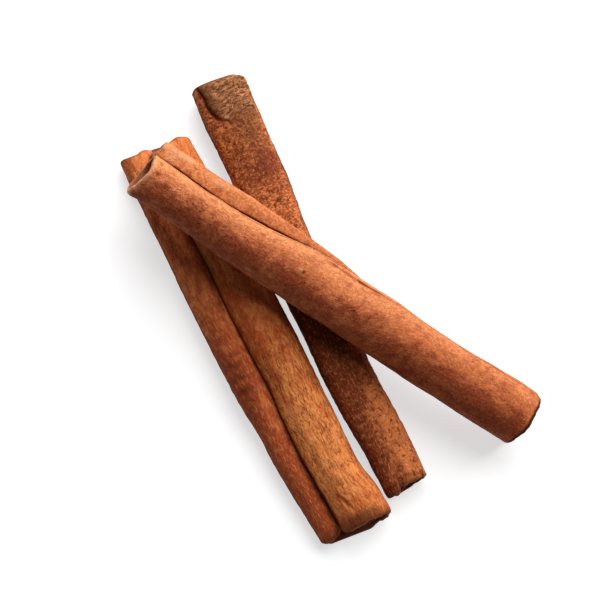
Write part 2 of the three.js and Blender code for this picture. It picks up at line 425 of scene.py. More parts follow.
# Bark pattern: lengthwise fibres, small dark flecks, broad cloudy patches, fine grain, a ragged net of dark
# and light islands, and fine cracks where a stretched noise crosses its middle value. Widths and lengths
# are the sizes of one cell in millimetres.
bark_pattern, given, result = new_group(
    "bark_pattern",
    {"Place": None, "Seed": 0.0, "Fibre Width": 0.25, "Fibre Length": 4.0, "Fleck Width": 0.45,
     "Fleck Length": 1.0, "Fleck Level": 0.58, "Patch Width": 4.0, "Patch Length": 9.0, "Grain Width": 0.42,
     "Grain Length": 0.5, "Net Width": 0.6, "Net Length": 0.8, "Crack Width": 0.7, "Crack Length": 2.5},
    ["Fibres", "Flecks", "Patches", "Grain", "Net", "Cracks"])


def bark_noise(name, seed_step, detail, roughness, distortion=0.0):
    """Noise in the cells of that name, with a seed of its own: the bark's seed + a step."""
    seed = maths(bark_pattern, "ADD", given["Seed"], seed_step)
    cells = stretched(bark_pattern, given["Place"], given[name + " Width"], given[name + " Length"], seed)
    return noise(bark_pattern, cells, detail, roughness, distortion)


fleck_top = maths(bark_pattern, "ADD", given["Fleck Level"], 0.07)
crack_distance = maths(bark_pattern, "SUBTRACT", bark_noise("Crack", 128.3, 3.0, 0.6, 0.4), 0.5)
off_crack = mask(bark_pattern, maths(bark_pattern, "ABSOLUTE", crack_distance), 0.0, 0.04)
pattern_values = {
    "Fibres": mask(bark_pattern, bark_noise("Fibre", 0.0, 5.0, 0.65), 0.3, 0.7),
    "Flecks": mask(bark_pattern, bark_noise("Fleck", 17.3, 2.0, 0.5, 0.4), given["Fleck Level"], fleck_top),
    "Patches": mask(bark_pattern, bark_noise("Patch", 41.9, 4.0, 0.6), 0.32, 0.68),
    "Grain": mask(bark_pattern, bark_noise("Grain", 73.1, 2.0, 0.7), 0.28, 0.72),
    "Net": mask(bark_pattern, bark_noise("Net", 95.7, 3.0, 0.7, 0.5), 0.46, 0.56),
    "Cracks": maths(bark_pattern, "SUBTRACT", 1.0, off_crack),
}
for label, value in pattern_values.items():
    bark_pattern.links.new(value, result[label])


def bark_place(tree):
    """Place on the piece's own map, in millimetres: across the bark, and along the quill."""
    place = place_node(tree, "ShaderNodeUVMap", uv_map="bark").outputs[0]
    return place_node(tree, "ShaderNodeMapping", {"Vector": place, "Scale": (MAP_SPAN,) * 3}).outputs[0]


def start_bark(name, pattern_sizes):
    """New bark material with the bark pattern placed in it, at the piece's own sizes."""
    material = bpy.data.materials.new(name)
    material.use_nodes = True
    tree = material.node_tree
    pattern = place_node(tree, "ShaderNodeGroup", node_tree=bark_pattern)
    tree.links.new(bark_place(tree), pattern.inputs["Place"])
    for socket, value in pattern_sizes.items():
        pattern.inputs[socket].default_value = value
    return material, tree, pattern.outputs


# Colours of the painted shade at the rims and on the undersides, of the dark marks and painted shade lines
# and their red-brown halo, and of pale chips.
RIM_SHADE = (0.09, 0.022, 0.007, 1)
UNDERSIDE_SHADE = (0.09, 0.022, 0.008, 1)
MARK_AND_SHADE_HALO = (0.22, 0.040, 0.009, 1)
DARK_MARK_AND_SHADE = (0.045, 0.008, 0.0025, 1)
PALE_CHIP = (0.66, 0.32, 0.16, 1)
CUT_GRAIN_SHADE = 0.45
FINE_RELIEF = 0.00012


def finish_bark(tree, pattern, colour, inside, cut, rim, under, height, roughness):
    """Adds painted shade at the rims near the cut ends and on the undersides, the cut ends, dark marks and
    painted shade lines with a red-brown halo, pale chips, the inner face, painted lighter near the cut ends
    as painted light, and the fine relief, and feeds the shader."""
    shader = tree.nodes["Principled BSDF"]
    # Painted shade near the cut ends and on the undersides.
    colour = tinted(tree, colour, painted(tree, "rim"), rim, RIM_SHADE)
    colour = tinted(tree, colour, painted(tree, "under"), under, UNDERSIDE_SHADE)
    shaded_cut = tuple(channel * CUT_GRAIN_SHADE for channel in cut[:3]) + (1,)
    rough_cut = blend(tree, pattern["Grain"], shaded_cut, cut)
    colour = blend(tree, painted(tree, "cut"), colour, rough_cut)
    # Dark marks and painted shade lines in the crevice, the groove, under the cork's edge and along edges,
    # with a red-brown halo.
    colour = blend(tree, mask(tree, painted(tree, "mark_and_shade"), 0.0, 0.5), colour, MARK_AND_SHADE_HALO)
    colour = blend(tree, mask(tree, painted(tree, "mark_and_shade"), 0.3, 0.9), colour, DARK_MARK_AND_SHADE)
    colour = blend(tree, painted(tree, "pale"), colour, PALE_CHIP)
    # The inner face is painted lighter near the cut ends, as painted light reaching into the ends.
    lit_inside = tinted(tree, inside, painted(tree, "rim"), 0.3, rough_cut)
    colour = blend(tree, painted(tree, "inside"), colour, lit_inside)
    tree.links.new(colour, shader.inputs["Base Color"])
    bump = place_node(tree, "ShaderNodeBump", {"Height": height, "Strength": 1.0, "Distance": FINE_RELIEF})
    tree.links.new(bump.outputs[0], shader.inputs["Normal"])
    shader.inputs["Roughness"].default_value = roughness
    shader.inputs["Specular IOR Level"].default_value = 0.08


def outer_turn(turn):
    """1 on the outer turn of a roll, and a smooth step to 0 where the bark runs inside."""
    return ramp(0.98, 0.88, turn)


def set_back(turn):
    """How far a roll's inner turns stand back inside its cut ends: a smooth step to 1.6 mm past one turn."""
    return 1.6 * ramp(0.92, 1.08, turn)


def corked_relief(u, v, turn, roll):
    """Heights and paint of the corked quill. The cork is a plateau with crosswise wrinkles on it and a lifted
    left edge, with a painted shadow under it; the scraped bark has soft lumps, lengthwise fibres and shallow
    pits. It is painted darkest along the top of its far half and along the left of its near half."""
    waves = 0.07 * soft_noise(u / 4, v / 8, 11) + 0.06 * soft_noise(u / 1.5, v / 2.2, 12)
    fibres = 0.04 * soft_noise(u / 0.6, v / 2.2, 13) + 0.05 * soft_noise(u / 0.7, v / 0.9, 14)
    left_edge = 0.605 - 0.0045 * v - 0.0006 * v ** 2 + 0.012 * soft_noise(v / 1.4, 0, 15)
    cork_end = 7.9 - 2.2 * ramp(0.4, 0.3, turn) + 0.9 * soft_noise(u / 1.3, 0, 16)
    cork = ramp(left_edge + 0.006, left_edge - 0.006, turn) * ramp(0.25, 0.33, turn)
    cork = cork * ramp(cork_end + 0.6, cork_end - 1.2, v)
    wrinkles = soft_noise(u / 1.1 + v / 2, v / 0.5, 17) + 0.6 * soft_noise(u / 0.6, v / 0.45, 18)
    lifted = band(turn, left_edge - 0.02, 0.02) * ramp(7.5, 6, v)
    height = waves + fibres + cork * (0.28 + 0.12 * wrinkles + 0.14 * lifted)
    # A shallow dip, and a painted shadow, under the cork's lifted left edge.
    tuck_and_shadow = ramp(left_edge + 0.045, left_edge + 0.01, turn)
    tuck_and_shadow = tuck_and_shadow * ramp(left_edge - 0.004, left_edge + 0.006, turn) * ramp(8.4, 7.0, v)
    notch = spot(turn, v, 0.33, 4.4, 0.02, 0.7)
    seam = band(turn + 0.004 * soft_noise(v, 0, 27), 0.44 + 0.004 * (v - 20), 0.004) * band(v, 19.8, 1.6)

    # Shade of the far half, of the near half, and between them a blend under the crossing quill. The near
    # half is painted darker where the crossing quill's shadow falls, as painted shadow.
    dapple = soft_noise(u / 1.3, v / 1.5, 28) + 0.6 * soft_noise(u / 0.7, v / 0.8, 29)
    far_shade = 0.7 * ramp(0.66, 0.55, turn) * (1 - 0.45 * ramp(17, 25, v))
    far_shade = far_shade * (0.45 + 0.55 * ramp(0.27, 0.37, turn))
    far_shade = far_shade * (1 - 0.45 * ramp(0.53, 0.60, turn)) - 0.1
    far_shade = far_shade + 0.6 * spot(turn, v, 0.435, 18.0, 0.05, 3.8) + 0.22 * dapple
    far_shade = far_shade - 0.3 * spot(turn, v, 0.30, 12, 0.035, 5) + 0.12 * ramp(12, 17, v)
    far_shade = far_shade - 0.45 * spot(turn, v, 0.63, 8.0, 0.04, 4.5)
    far_shade = far_shade + 0.75 * ramp(0.36, 0.28, turn) * ramp(14, 19, v)
    edge = 0.475 + 0.03 * soft_noise(u / 2, v / 3, 19) - 0.03 * soft_noise(v / 7, 0, 20)
    edge = edge + 0.06 * ramp(61, 71, v)
    near_shade = 0.12 + 0.95 * ramp(edge - 0.075, edge + 0.035, turn) * (1 - 0.3 * ramp(76, 81, v))
    near_shade = near_shade + 0.26 * dapple
    # Painted shadow where the crossing quill's shadow falls.
    near_shade = near_shade - 0.22 * band(turn, 0.34, 0.05) + 0.8 * ramp(66, 52, v) + 0.12 * ramp(72, 62, v)
    near_shade = near_shade + 0.5 * ramp(0.32, 0.22, turn) * ramp(72, 64, v) + 0.12 * ramp(0.44, 0.5, turn)
    shade = far_shade + (near_shade - far_shade) * ramp(40, 52, v)

    # Stains: a green-brown one next to the cork, a plum one beyond it, and weathered patches on the cork.
    stain_reach = v + 1.8 * soft_noise(u / 1.5, v / 1.5, 25)
    stain = ramp(17, 8, stain_reach) * ramp(0.28, 0.38, turn) * ramp(0.58, 0.44, turn)
    stain = np.clip(stain + 0.7 * spot(turn, v, 0.44, 11.0, 0.04, 2.4), 0, 1)
    plum = spot(turn + 0.01 * soft_noise(v / 1.5, 0, 44), v, 0.445, 17.6, 0.028, 3.4)
    weathered = 1.2 * spot(turn, v, 0.585, 4.0, 0.055, 5.0) + 0.5 * spot(turn, v, 0.40, 8.5, 0.05, 2.0)
    weathered = np.clip(weathered + 0.3 * soft_noise(u / 1.6, v / 1.1, 24), 0, 1)
    paint = {"mark_and_shade": np.maximum.reduce([0.62 * tuck_and_shadow, 0.54 * notch, 0.63 * seam]), "pale": 0 * v,
             "cork": cork, "weathered": weathered, "stain": stain, "plum": plum, "shade": shade,
             "netted": 0.42 + 0.58 * ramp(46, 34, v)}
    return (height - 0.35 * tuck_and_shadow - 0.25 * notch) * outer_turn(turn), paint


def corked_chips(turn, roll):
    """How far the bark sticks out past its far and near ends, in mm. The near end's upper rim overhangs on
    the left, where it is torn, and the inner turn stands back inside."""
    far = 0.18 * soft_noise(turn * 14, 0, 21) - 0.5 * ramp(0.36, 0.26, turn) * ramp(0.14, 0.2, turn)
    far = far - set_back(turn) + 0.3 * band(turn, 0.58, 0.14)
    over = 0.95 * band(turn, 0.61, 0.11) + 0.12 * band(turn, 0.42, 0.07) - 0.5 * band(turn, 0.1, 0.14)
    torn = 0.3 * soft_noise(turn * 40, 0, 22) + 0.4 * soft_noise(turn * 100, 0, 23)
    near = np.minimum(over + torn * ramp(0.44, 0.52, turn), 0.95)
    return far, near - 0.8 * set_back(turn) + 0.12 * soft_noise(turn * 30, 0, 26)


corked_columns = strip_columns(corked, shown=(190,), hidden=20, floor_count=0)
bark_corked = make_quill("bark_corked", corked, corked_columns, 0.26, corked_relief, corked_chips)

corked_tint = {
    "scraped": (0.64, 0.185, 0.052, 1),
    "shaded": (0.19, 0.037, 0.0085, 1),
    "glint": (0.70, 0.26, 0.115, 1),
    "stain": (0.21, 0.090, 0.032, 1),
    "plum": (0.17, 0.058, 0.034, 1),
    "net": (0.13, 0.020, 0.0045, 1),
    "crack": (0.12, 0.022, 0.006, 1),
    "fleck": (0.11, 0.019, 0.006, 1),
    "cork hollow": (0.080, 0.021, 0.006, 1),
    "cork crest": (0.50, 0.205, 0.087, 1),
    "cork patch": (0.11, 0.044, 0.013, 1),
    "weathered cork": (0.085, 0.027, 0.009, 1),
    "inside": (0.21, 0.056, 0.020, 1),
    "cut": (0.26, 0.075, 0.027, 1),
}
material, tree, pattern = start_bark(
    "bark_corked",
    {"Seed": 3.0, "Fibre Width": 0.35, "Fibre Length": 0.9, "Fleck Width": 0.5, "Fleck Length": 0.95,
     "Fleck Level": 0.56, "Patch Width": 1.6, "Patch Length": 2.2, "Net Width": 0.75, "Net Length": 0.36,
     "Crack Width": 0.8, "Crack Length": 1.4})
shade = weighted(tree, (painted(tree, "shade"), 0.9), (pattern["Patches"], 0.45), (pattern["Grain"], 0.2),
                 (1.0, -0.28))
colour = blend(tree, shade, corked_tint["scraped"], corked_tint["shaded"])
colour = tinted(tree, colour, mask(tree, pattern["Fibres"], 0.5, 0.9), 0.42, corked_tint["glint"])
colour = tinted(tree, colour, painted(tree, "stain"), 0.8, corked_tint["stain"])
colour = tinted(tree, colour, painted(tree, "plum"), 0.6, corked_tint["plum"])
netted = maths(tree, "MULTIPLY", pattern["Net"], painted(tree, "netted"))
colour = tinted(tree, colour, netted, 0.72, corked_tint["net"])
colour = tinted(tree, colour, pattern["Cracks"], 0.35, corked_tint["crack"])
colour = tinted(tree, colour, pattern["Flecks"], 0.75, corked_tint["fleck"])
slant = {"Vector": bark_place(tree), "Rotation": (0, 0, -0.3)}
slanted = place_node(tree, "ShaderNodeMapping", slant).outputs[0]
strokes = noise(tree, stretched(tree, slanted, 0.95, 0.42, 5.0), 5.0, 0.72, 1.3)
crests = mask(tree, strokes, 0.41, 0.63)
cork_colour = blend(tree, crests, corked_tint["cork hollow"], corked_tint["cork crest"])
cork_colour = tinted(tree, cork_colour, pattern["Patches"], 0.25, corked_tint["cork patch"])
cork_colour = tinted(tree, cork_colour, painted(tree, "weathered"), 0.6, corked_tint["weathered cork"])
colour = blend(tree, painted(tree, "cork"), colour, cork_colour)
cork_strokes = maths(tree, "MULTIPLY", strokes, painted(tree, "cork"))
height = weighted(tree, (pattern["Grain"], 0.35), (pattern["Fibres"], 0.35), (pattern["Flecks"], -0.35),
                  (pattern["Net"], -0.3), (cork_strokes, 1.2), (1.0, 0.4))
finish_bark(tree, pattern, colour, inside=corked_tint["inside"], cut=corked_tint["cut"], rim=0.45,
            under=0.8, height=height, roughness=0.8)
bark_corked.data.materials.append(material)
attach(bark_corked, "root")
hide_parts("quill_corked")

# ---------------------------------------------------------------------------------------------
# The twin-roll quill: a wider strip of bark whose two long edges have both curled in, so that a
# narrow reddish roll, with a wrinkled dark knot half way along, and a wide, lighter, cracked roll
# lie side by side on the table, with a deep groove between them.
# ---------------------------------------------------------------------------------------------

twin_roll = {
    "start": (-31.83, 29.37, 0), "end": (4.67, -40.93, 0),
    "bow": (-0.9, -1.2, -1.65, -1.6, -1.1),
    "rolls": [{"radius": (2.8, 3.3, 3.5, 3.15, 2.6), "core": (0.3, 0.3), "turns": 1.1},
              {"radius": (4.3, 4.25, 4.45, 4.4, 4.5), "core": (0.3, 0.6, 0.8, 0.6, 1.0), "turns": 1.45}],
    "axis_offset": 3.2, "side_cut": (0.14, 0.13), "lean_cut": (0, -0.06),
    "twist": (0, 0), "flatness": 1, "lies_flat": True,
    "swell_left": (0, 0.1, -0.1, -0.1, -0.12, -0.05, -0.08, -0.08, -0.1, -0.15, -0.12, -0.2, -0.22, -0.15,
                   -0.12, -0.08, -0.15),
    "swell_right": (0.3, 0.3, 0.2, 0.1, 0, 0, 0, 0, -0.1, -0.05, 0, 0, 0, -0.28, -0.5, 0.1, 0.1),
    "groove_shift": (-0.75, -0.35, 0, 0, 0.1, 0, 0.25, 0.36, 0.36, 0.33, 0.18, 0.4, 0.65, 0.72, 0.55, 0.36,
                     0.2),
    "droop": (0.2, 1.2),
}

# The knot's crosswise wrinkles: each one's place along the quill, its width and its share of the full depth.
knot_wrinkles = ((41.0, 0.6, 0.8), (43.3, 0.75, 1.0), (46.1, 0.65, 0.95), (48.6, 0.7, 0.95),
                 (51.0, 0.5, 0.7))


def twin_roll_relief(u, v, turn, roll):
    """Heights and paint of the twin-roll quill: lumps and fibres, a swollen knot with crosswise wrinkles on
    the narrow roll, and fine cracks, a crease, a swirl and a bruise in the near half of the wide one, whose
    near rim is painted dark as painted shade. The far half of the wide roll, under the crossing quill, is
    painted darker as painted shadow of the crossing quill."""
    wide = (roll == 1).astype(float)
    curled = roll >= 0
    waves = 0.09 * soft_noise(u / 4, v / 7, 31) + 0.06 * soft_noise(u / 1.5, v / 2.5, 32)
    fibres = 0.035 * soft_noise(u / 0.6, v / 2.5, 33) + 0.035 * soft_noise(u / 0.7, v / 0.9, 34)
    knot = (1 - wide) * spot(turn, v, 0.42, 46.6, 0.15, 5.2)
    across = v - 4 * (turn - 0.4) + 0.55 * soft_noise(u / 1.6, v / 1.8, 35)
    wrinkles = sum(depth * band(across, middle, width) for middle, width, depth in knot_wrinkles)
    wrinkles = wrinkles * (0.75 + 0.5 * soft_noise(u / 1.4, v / 1.7, 36))
    wrinkles = wrinkles + 0.25 * soft_noise(u / 0.8, v / 0.45, 40)
    eye = (1 - wide) * spot(turn, v, 0.41, 48.8, 0.05, 1.2)
    crease = wide * spot(turn + 0.012 * (v - 75), v, 0.565, 75.0, 0.014, 1.6)
    swirl = wide * spot(turn + 0.02 * np.sin(2.2 * v), v, 0.455, 61.0, 0.012, 1.3)
    pressed = ramp(0.6, 0.7, turn) * ramp(0.82, 0.74, turn) * (0.3 + 0.35 * ramp(5, 2, v))
    height = waves + fibres + pressed + knot * (0.4 - 0.3 * wrinkles)
    height = height - 0.2 * eye - 0.22 * crease - 0.06 * swirl

    # Shade of the wide roll and of the narrow one, painted lighter on the groove's sides as painted bounce
    # light, and the marks, with painted shade at the groove's bottom and on the wide roll's near rim.
    dapple = soft_noise(u / 1.4, v / 2.2, 37) + 0.6 * soft_noise(u / 0.7, v / 1.1, 38)
    bruise = spot(turn, v, 0.40, 58.6, 0.04, 1.6)
    # The wide roll is painted darker where the crossing quill's shadow falls, as painted shadow, and towards
    # its near end as painted shade.
    wide_shade = 0.70 * ramp(60, 41, v) * (1 - 0.4 * ramp(34, 22, v)) + 0.45 * ramp(70, 77, v)
    wide_shade = wide_shade + 0.3 * ramp(0.40, 0.3, turn) * ramp(3, 14, v) + 0.2 * dapple + 0.5 * bruise
    wide_shade = wide_shade + 0.08 * band(v, 66, 7) + 0.4 * ramp(0.555, 0.6, turn)
    wide_shade = wide_shade + 0.45 * ramp(0.40, 0.27, turn) * band(v, 43, 13)
    narrow_shade = 0.98 - 0.6 * ramp(8, 2, v) + 0.06 * ramp(55, 65, v) - 0.35 * band(v, 26, 11)
    narrow_shade = narrow_shade + 0.35 * knot + 0.2 * dapple
    narrow_shade = narrow_shade - 0.5 * spot(turn, v, 0.54, 52.5, 0.05, 3.5)
    narrow_shade = narrow_shade + 0.15 * spot(turn, v, 0.55, 45, 0.06, 4)
    narrow_shade = narrow_shade - 0.35 * spot(turn, v, 0.5, 16, 0.07, 14)
    # Painted bounce light on the groove's sides, and painted shade at its bottom.
    groove = ramp(0.56, 0.68, turn) * curled
    groove_bottom_shade = ramp(0.67, 0.73, turn) * curled * ramp(0, 6, v)
    # Painted shade on the wide roll's near rim, where the bark rolls over.
    near_rim_shade = wide * ramp(75.8, 78.6, v) * ramp(0.36, 0.52, turn)
    darkened = knot * (0.22 + 1.0 * wrinkles + 0.45 * soft_noise(u / 1.3, v / 1.1, 39)) + 0.8 * near_rim_shade
    paint = {"shade": wide * wide_shade + (1 - wide) * narrow_shade - 0.5 * groove,
             "darkened": np.clip(darkened, 0, 1), "cracked": wide * ramp(36, 47, v) * ramp(84, 68, v),
             "mark_and_shade": np.maximum.reduce([0.6 * eye, 0.45 * crease, 0.35 * swirl, 0.6 * groove_bottom_shade]),
             "pale": 0 * v, "wide": wide}
    return height * outer_turn(turn), paint


def twin_roll_chips(turn, roll):
    """How far the bark sticks out past its far and near ends, in mm. At the near end the upper rims
    overhang a little, the strip between the rolls sticks out, and the inner turns stand back inside."""
    wide = (roll == 1).astype(float)
    narrow = (roll == 0).astype(float)
    far = 0.12 * soft_noise(turn * 12 + 5 * wide, 0, 41) + 0.6 * ramp(0.45, 0.7, turn)
    far = far + 0.8 * band(turn, 0, 0.12) - 1.3 * wide * ramp(0.40, 0.6, turn)
    over = wide * (0.95 * band(turn, 0.62, 0.16) + 0.3 * band(turn, 0.38, 0.12))
    over = over + narrow * (0.75 * band(turn, 0.42, 0.15) - 0.3 * band(turn, 0.68, 0.1))
    over = over + 0.55 * np.where(roll == 1, ramp(0.09, 0, turn), band(turn, 0.03, 0.16))
    over = over - 0.25 * wide * ramp(0, 0.1, turn) * ramp(0.42, 0.3, turn)
    over = over + 0.4 * wide * band(turn, 0.13, 0.05)
    torn = 0.12 * soft_noise(turn * 30 + 7 * wide, 0, 42) + 0.06 * soft_noise(turn * 80, 0, 43)
    return far - set_back(turn), over + torn * ramp(0.02, 0.1, turn) - 0.3 * set_back(turn)


twin_columns = strip_columns(twin_roll, shown=(85, 120), hidden=18, floor_count=14)
bark_twin_roll = make_quill("bark_twin_roll", twin_roll, twin_columns, 0.27, twin_roll_relief,
                            twin_roll_chips)

twin_tint = {
    "wide": (0.72, 0.240, 0.066, 1),
    "shaded wide": (0.40, 0.070, 0.0145, 1),
    "narrow": (0.70, 0.200, 0.060, 1),
    "shaded narrow": (0.30, 0.052, 0.0145, 1),
    "glint": (0.78, 0.33, 0.12, 1),
    "dark": (0.10, 0.020, 0.010, 1),
    "crack": (0.20, 0.036, 0.007, 1),
    "net": (0.22, 0.040, 0.009, 1),
    "fleck": (0.14, 0.024, 0.006, 1),
    "inside": (0.26, 0.078, 0.034, 1),
    "cut": (0.24, 0.070, 0.028, 1),
}
material, tree, pattern = start_bark(
    "bark_twin_roll",
    {"Seed": 11.0, "Fibre Width": 0.3, "Fibre Length": 1.4, "Fleck Width": 0.35, "Fleck Length": 1.2,
     "Fleck Level": 0.58, "Patch Width": 1.1, "Patch Length": 2.2, "Net Width": 0.6, "Net Length": 1.0,
     "Crack Width": 0.85, "Crack Length": 4.2})
shade = weighted(tree, (painted(tree, "shade"), 1.0), (pattern["Patches"], 0.55), (pattern["Grain"], 0.25),
                 (1.0, -0.38))
wide_colour = blend(tree, shade, twin_tint["wide"], twin_tint["shaded wide"])
narrow_colour = blend(tree, shade, twin_tint["narrow"], twin_tint["shaded narrow"])
colour = blend(tree, painted(tree, "wide"), narrow_colour, wide_colour)
colour = tinted(tree, colour, mask(tree, pattern["Fibres"], 0.55, 0.95), 0.35, twin_tint["glint"])
colour = tinted(tree, colour, painted(tree, "darkened"), 0.85, twin_tint["dark"])
crack_share = weighted(tree, (painted(tree, "cracked"), 0.6), (1.0, 0.2))
cracks = maths(tree, "MULTIPLY", pattern["Cracks"], crack_share)
colour = blend(tree, cracks, colour, twin_tint["crack"])
colour = tinted(tree, colour, pattern["Net"], 0.22, twin_tint["net"])
colour = tinted(tree, colour, pattern["Flecks"], 0.22, twin_tint["fleck"])
height = weighted(tree, (pattern["Grain"], 0.4), (pattern["Fibres"], 0.3), (cracks, -0.7),
                  (pattern["Net"], -0.2), (pattern["Flecks"], -0.2), (1.0, 0.45))
finish_bark(tree, pattern, colour, inside=twin_tint["inside"], cut=twin_tint["cut"], rim=0.5, under=0.7,
            height=height, roughness=0.8)
bark_twin_roll.data.materials.append(material)
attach(bark_twin_roll, "root")
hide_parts("quill_twin_roll")

# ---------------------------------------------------------------------------------------------
# The crossing quill: a strip of the same bark, the smoothest and lightest of the three. A large
# roll, with a small lobe beside it that turns under half way along. It rests loosely on the
# corked quill and, with its right end, on the table.
# ---------------------------------------------------------------------------------------------

CROSSING_LENGTH = 81.3
LOBE_SEAM_LENGTH = 44
SIDE_SEAM_START = 30
SIDE_SEAM_LENGTH = 50

crossing = {
    "start": (-32.63, 21.77, 16.82), "end": (34.94, -22.49, 7.42),
    "bow": (-0.65, -0.85, -0.5, 0.0, 0.35),
    "rolls": [{"radius": (4.8, 5.1, 5.35, 5.6, 5.5), "core": (0.4, 0.4), "turns": 1.35},
              {"radius": (2.0, 2.1, 2.1, 1.9, 1.8), "core": (0, 0), "turns": 0.92}],
    "axis_offset": 0, "side_cut": (0.08, 0.1), "lean_cut": (0.17, 0.05),
    "twist": (0, 0, -20, -70, -80), "flatness": 0.9, "lies_flat": False,
    "swell_left": (0.15, 0, -0.1, -0.1, -0.1, -0.1, -0.15, -0.2, -0.15, -0.1, -0.12, -0.2, -0.1, -0.2,
                   -0.05, -0.1, -0.18),
    "swell_right": (0.5, 0.55, 0.42, 0.35, 0.28, 0.15, 0.0, 0.05, 0.35, 0.52, 0.48, 0.15, -0.03, -0.02, 0.3,
                    0.32, 0.22),
    "groove_shift": (1.0, 1.15, 1.3, 1.2, 0.95, 0.55, -0.1, -0.3, -0.1, 0, 0, 0, 0, 0, 0, 0, 0),
    "droop": (0.0, 0.4),
}


def crossing_relief(u, v, turn, roll):
    """Heights and paint of the crossing quill: long soft waves and faint fibres, a small chipped knot, a dark
    crevice beside the lobe, which is pressed up against the large roll, painted with specks and painted
    shade, a painted highlight along the top, painted shade lines along the upper edge and at the right end,
    and a dappled boundary between the tan upper side and the redder lower side, which winds along the twist."""
    large = (roll == 0).astype(float)
    lobe = (roll == 1).astype(float)
    along = v / CROSSING_LENGTH
    waves = 0.10 * soft_noise(u / 4, v / 7, 51) + 0.05 * soft_noise(u / 1.5, v / 2.2, 52)
    fibres = 0.02 * soft_noise(u / 0.6, v / 3, 53) + 0.025 * soft_noise(u / 0.7, v / 0.9, 54)
    pressed = value_along((0.85, 0.8, 0.6, 0.0, -0.35, 0, 0, 0, 0), along) * lobe * band(turn, 0.68, 0.13)
    shoulder = 0.45 * large * spot(turn, v, 0.69, 36.0, 0.07, 9.0)
    knot = large * spot(turn, v, 0.474, 33.3, 0.013, 0.45)
    chip = large * spot(turn, v, 0.48, 32.8, 0.008, 0.3)
    speck = large * (spot(turn, v, 0.389, 44.8, 0.009, 0.3) + spot(turn, v, 0.42, 34.6, 0.012, 0.25))
    mouth_marks = large * (spot(turn, v, 0.515, 1.6, 0.022, 0.5) + spot(turn, v, 0.47, 4.0, 0.02, 0.9))

    # The crevice beside the lobe, painted shade with dark specks; the line along the side once the lobe has
    # turned under, a painted shade line at the large roll's upper edge; and the end's line, painted shade at
    # the right end.
    ragged = 0.004 * soft_noise(v / 0.7, 3.5, 57) + 0.006 * soft_noise(v / 2.3, 7.5, 65)
    seam = v / LOBE_SEAM_LENGTH
    seam_turn = value_along((0.675, 0.68, 0.675, 0.67, 0.665, 0.66, 0.655, 0.65, 0.64), seam) + ragged
    lobe_turn = value_along((0.605, 0.61, 0.62, 0.62, 0.59, 0.565, 0.53, 0.48, 0.42), seam) + ragged
    crevice = ramp(lobe_turn - 0.028, lobe_turn - 0.004, turn)
    crevice = crevice * ramp(lobe_turn + 0.14, lobe_turn + 0.09, turn)
    chain = 0.5 * large * band(turn, seam_turn + 0.008, 0.011) + lobe * crevice
    chain = chain * (0.85 + 0.3 * soft_noise(v / 1.6, 2.5, 66)) * ramp(46, 40, v) * ramp(0, 3, v)
    side = (v - SIDE_SEAM_START) / SIDE_SEAM_LENGTH
    side_turn = value_along((0.70, 0.66, 0.63, 0.60, 0.565, 0.545, 0.515, 0.49, 0.48, 0.475, 0.475), side)
    edge_shade = value_along((0, 0.3, 0.8, 0.8, 0.5, 0.3, 0.3, 0.4, 0.5, 0.5, 0.5), side)
    edge_shade = edge_shade * large * band(turn, side_turn - 0.028, 0.016)
    edge_shade = edge_shade * (0.8 + 0.5 * soft_noise(v / 1.1, 4.5, 67))
    # A painted highlight along the top of the large roll, beside the lobe and the upper edge.
    ridge_highlight = large * ramp(side_turn - 0.19, side_turn - 0.06, turn) * (1 - 0.4 * ramp(20, 60, v))
    end_shade_line = ramp(0.7, 0.3, CROSSING_LENGTH - v) * (roll <= 0)

    # Shade, darker below the boundary and on the blushes, and the pale lip, chip and lobe.
    dapple = soft_noise(u / 1.2, v / 1.3, 58) + 0.7 * soft_noise(u / 0.6, v / 0.7, 59)
    blush = 0.7 * spot(turn, v, 0.43, 33.6, 0.05, 2.4) + 0.6 * spot(turn, v, 0.49, 10.5, 0.035, 3.0)
    twist = value_along(crossing["twist"], along) / 360
    edge = 0.465 + twist * 0.95 - 0.02 * ramp(60, 81, v) + 0.035 * soft_noise(v / 4, u / 5, 55)
    edge = edge + 0.012 * dapple + 0.012 * band(v, 38, 12)
    flank = 0.04 + 0.5 * ramp(18, 34, v)
    shade = large * ramp(edge + 0.055, edge - 0.05, turn)
    shade = shade * (1 - flank * ramp(edge - 0.08, edge - 0.22, turn)) + 0.25 * ramp(62, 80, v) * large
    shade = shade + large * blush + 0.36 * dapple - 0.07 + 0.5 * mouth_marks
    # Dark marks, with the painted shade of the crevice, the upper edge and the right end among them.
    marks = np.maximum.reduce([0.85 * knot, 0.8 * speck, 0.5 * mouth_marks, 0.95 * chain, 0.8 * end_shade_line,
                               0.8 * edge_shade])
    pink = lobe * ramp(24, 8, v) * np.clip(soft_noise(u / 1.6, v / 2.4, 69), 0, 1)
    lip = large * ramp(1.3 + 0.7 * soft_noise(turn * 40, 0, 68), 0.2, v)
    lip = lip * ramp(0.66, 0.6, turn) * ramp(0.14, 0.2, turn)
    flare = 0.2 * large * ramp(2.2, 0.3, v) * band(turn, 0.27, 0.08)
    paint = {"shade": shade, "mark_and_shade": marks * (1 - chip),
             "pale": np.maximum.reduce([0.9 * chip, 0.55 * lip, 0.5 * pink]), "lobe": lobe, "ridge_highlight": ridge_highlight,
             "right": np.clip(along, 0, 1), "specked": spot(turn, v, 0.46, 13, 0.08, 7) * large}
    height = waves + fibres + pressed + shoulder + flare
    height = height - 0.15 * knot + 0.12 * chip - 0.1 * mouth_marks - 0.25 * chain
    return height * outer_turn(turn), paint


